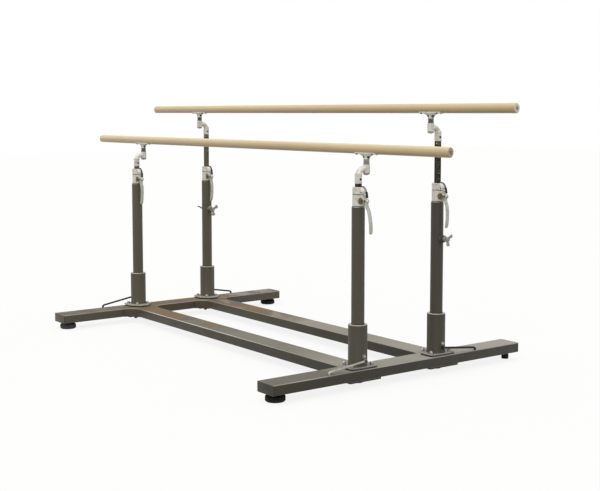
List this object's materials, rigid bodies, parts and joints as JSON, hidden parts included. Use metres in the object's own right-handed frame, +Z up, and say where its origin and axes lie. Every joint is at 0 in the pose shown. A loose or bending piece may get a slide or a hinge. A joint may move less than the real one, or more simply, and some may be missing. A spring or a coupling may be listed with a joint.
{
  "type": "parallel bars",
  "caption": "Adjustable parallel bars: oval wooden rails on telescopic clamped uprights that swivel in sockets on a rectangular tube base with rubber feet.",
  "frame": {"origin": "on the floor under the middle of the base", "axes": "+X along the rails toward the end with the levelling foot, +Y from the near rail to the far rail, +Z up"},
  "size_m": [3.5, 1.678, 1.4236],
  "materials": {
    "frame_paint": "satin",
    "cast_paint": "satin",
    "dark_steel": "blackened",
    "zinc_steel": "zinc plated",
    "brass": "dull",
    "foot_rubber": "matt",
    "rail_wood": "clear lacquer"
  },
  "bodies": {
    "base": {"cross_beam_left": "frame_paint", "cross_beam_right": "frame_paint", "long_beam_near": "frame_paint", "long_beam_far": "frame_paint", "end_cap_near_left": "frame_paint", "end_cap_near_right": "frame_paint", "end_cap_far_left": "frame_paint", "end_cap_far_right": "frame_paint", "pad_foot_near_left": "foot_rubber", "pad_foot_far_left": "foot_rubber", "pad_foot_near_right": "foot_rubber", "socket_near_left": "frame_paint", "socket_near_right": "frame_paint", "socket_far_left": "frame_paint", "socket_far_right": "frame_paint"},
    "levelling_foot": {"levelling_foot": "foot_rubber"},
    "lock_lever_near_left": {"lock_lever_near_left": "dark_steel"},
    "column_near_left": {"column_near_left": "frame_paint", "clamp_head_near_left": "cast_paint", "latch_strap_near_left": "dark_steel", "clamp_bolt_near_left": "brass"},
    "clamp_lever_near_left": {"clamp_lever_near_left": "cast_paint"},
    "pole_near_left": {"pole_near_left": "dark_steel", "gooseneck_near_left": "cast_paint"},
    "lock_lever_near_right": {"lock_lever_near_right": "zinc_steel"},
    "column_near_right": {"column_near_right": "frame_paint", "clamp_head_near_right": "cast_paint", "latch_strap_near_right": "dark_steel", "clamp_bolt_near_right": "brass"},
    "clamp_lever_near_right": {"clamp_lever_near_right": "cast_paint"},
    "pole_near_right": {"pole_near_right": "dark_steel", "gooseneck_near_right": "cast_paint"},
    "lock_lever_far_left": {"lock_lever_far_left": "dark_steel"},
    "column_far_left": {"column_far_left": "frame_paint", "clamp_head_far_left": "cast_paint", "latch_strap_far_left": "dark_steel", "clamp_bolt_far_left": "brass"},
    "clamp_lever_far_left": {"clamp_lever_far_left": "cast_paint"},
    "hand_screw_far_left": {"hand_screw_far_left": "zinc_steel"},
    "pole_far_left": {"pole_far_left": "dark_steel", "gooseneck_far_left": "cast_paint"},
    "lock_lever_far_right": {"lock_lever_far_right": "dark_steel"},
    "column_far_right": {"column_far_right": "frame_paint", "clamp_head_far_right": "cast_paint", "latch_strap_far_right": "dark_steel", "clamp_bolt_far_right": "brass"},
    "clamp_lever_far_right": {"clamp_lever_far_right": "cast_paint"},
    "hand_screw_far_right": {"hand_screw_far_right": "zinc_steel"},
    "pole_far_right": {"pole_far_right": "dark_steel", "gooseneck_far_right": "cast_paint"},
    "rail_near": {"rail_near": "rail_wood", "saddle_near_left": "cast_paint", "saddle_near_right": "cast_paint", "swivel_bolt_near_left": "zinc_steel", "swivel_bolt_near_right": "zinc_steel"},
    "rail_far": {"rail_far": "rail_wood", "saddle_far_left": "cast_paint", "saddle_far_right": "cast_paint", "swivel_bolt_far_left": "zinc_steel", "swivel_bolt_far_right": "zinc_steel"}
  },
  "joints": [
    {"name": "levelling_foot_screw", "type": "slide", "parent": "base", "child": "levelling_foot", "axis": [0, 0, -1], "range_m": [0, 0.015]},
    {"name": "lock_near_left", "type": "hinge", "parent": "base", "child": "lock_lever_near_left", "pos_m": [-1.2108, -0.27, 0.1493], "axis": [-1, 0, 0], "range_deg": [0, 35]},
    {"name": "swing_near_left", "type": "hinge", "parent": "base", "child": "column_near_left", "pos_m": [-1.15, -0.27, 0.5], "axis": [0, 0, 1], "range_deg": [-180, 180]},
    {"name": "clamp_near_left", "type": "hinge", "parent": "column_near_left", "child": "clamp_lever_near_left", "pos_m": [-1.087, -0.27, 0.9403], "axis": [0, -1, 0], "range_deg": [0, 110]},
    {"name": "lift_near_left", "type": "slide", "parent": "column_near_left", "child": "pole_near_left", "axis": [0, 0, 1], "range_m": [0, 0.5]},
    {"name": "lock_near_right", "type": "hinge", "parent": "base", "child": "lock_lever_near_right", "pos_m": [1.2108, -0.27, 0.1373], "axis": [-1, 0, 0], "range_deg": [0, 35]},
    {"name": "swing_near_right", "type": "hinge", "parent": "base", "child": "column_near_right", "pos_m": [1.15, -0.27, 0.5], "axis": [0, 0, 1], "range_deg": [-180, 180]},
    {"name": "clamp_near_right", "type": "hinge", "parent": "column_near_right", "child": "clamp_lever_near_right", "pos_m": [1.213, -0.27, 0.9403], "axis": [0, -1, 0], "range_deg": [-14, 96]},
    {"name": "lift_near_right", "type": "slide", "parent": "column_near_right", "child": "pole_near_right", "axis": [0, 0, 1], "range_m": [0, 0.5]},
    {"name": "lock_far_left", "type": "hinge", "parent": "base", "child": "lock_lever_far_left", "pos_m": [-1.2108, 0.27, 0.1493], "axis": [1, 0, 0], "range_deg": [0, 35]},
    {"name": "swing_far_left", "type": "hinge", "parent": "base", "child": "column_far_left", "pos_m": [-1.15, 0.27, 0.5], "axis": [0, 0, 1], "range_deg": [-180, 180]},
    {"name": "clamp_far_left", "type": "hinge", "parent": "column_far_left", "child": "clamp_lever_far_left", "pos_m": [-1.087, 0.27, 0.9403], "axis": [0, -1, 0], "range_deg": [0, 110]},
    {"name": "screw_far_left", "type": "hinge", "parent": "column_far_left", "child": "hand_screw_far_left", "pos_m": [-1.15, 0.27, 0.715], "axis": [1, 0, 0], "continuous": true},
    {"name": "lift_far_left", "type": "slide", "parent": "column_far_left", "child": "pole_far_left", "axis": [0, 0, 1], "range_m": [-0.2, 0.3]},
    {"name": "lock_far_right", "type": "hinge", "parent": "base", "child": "lock_lever_far_right", "pos_m": [1.2108, 0.27, 0.1373], "axis": [1, 0, 0], "range_deg": [0, 35]},
    {"name": "swing_far_right", "type": "hinge", "parent": "base", "child": "column_far_right", "pos_m": [1.15, 0.27, 0.5], "axis": [0, 0, 1], "range_deg": [-180, 180]},
    {"name": "clamp_far_right", "type": "hinge", "parent": "column_far_right", "child": "clamp_lever_far_right", "pos_m": [1.213, 0.27, 0.9403], "axis": [0, -1, 0], "range_deg": [-4, 106]},
    {"name": "screw_far_right", "type": "hinge", "parent": "column_far_right", "child": "hand_screw_far_right", "pos_m": [1.15, 0.27, 0.715], "axis": [1, 0, 0], "continuous": true},
    {"name": "lift_far_right", "type": "slide", "parent": "column_far_right", "child": "pole_far_right", "axis": [0, 0, 1], "range_m": [-0.2, 0.3]},
    {"name": "rail_swivel_near", "type": "hinge", "parent": "pole_near_left", "child": "rail_near", "pos_m": [-1.15, -0.218, 1.1], "axis": [0, 0, 1], "range_deg": [-180, 180]},
    {"name": "rail_swivel_far", "type": "hinge", "parent": "pole_far_left", "child": "rail_far", "pos_m": [-1.15, 0.218, 1.3], "axis": [0, 0, 1], "range_deg": [-180, 180]}
  ],
  "couplings": [
    {"joint": "swing_near_right", "follows": "swing_near_left", "ratio": 1},
    {"joint": "lift_near_right", "follows": "lift_near_left", "ratio": 1},
    {"joint": "swing_far_right", "follows": "swing_far_left", "ratio": 1},
    {"joint": "lift_far_right", "follows": "lift_far_left", "ratio": 1},
    {"joint": "rail_swivel_near", "follows": "swing_near_left", "ratio": -1},
    {"joint": "rail_swivel_far", "follows": "swing_far_left", "ratio": -1}
  ]
}
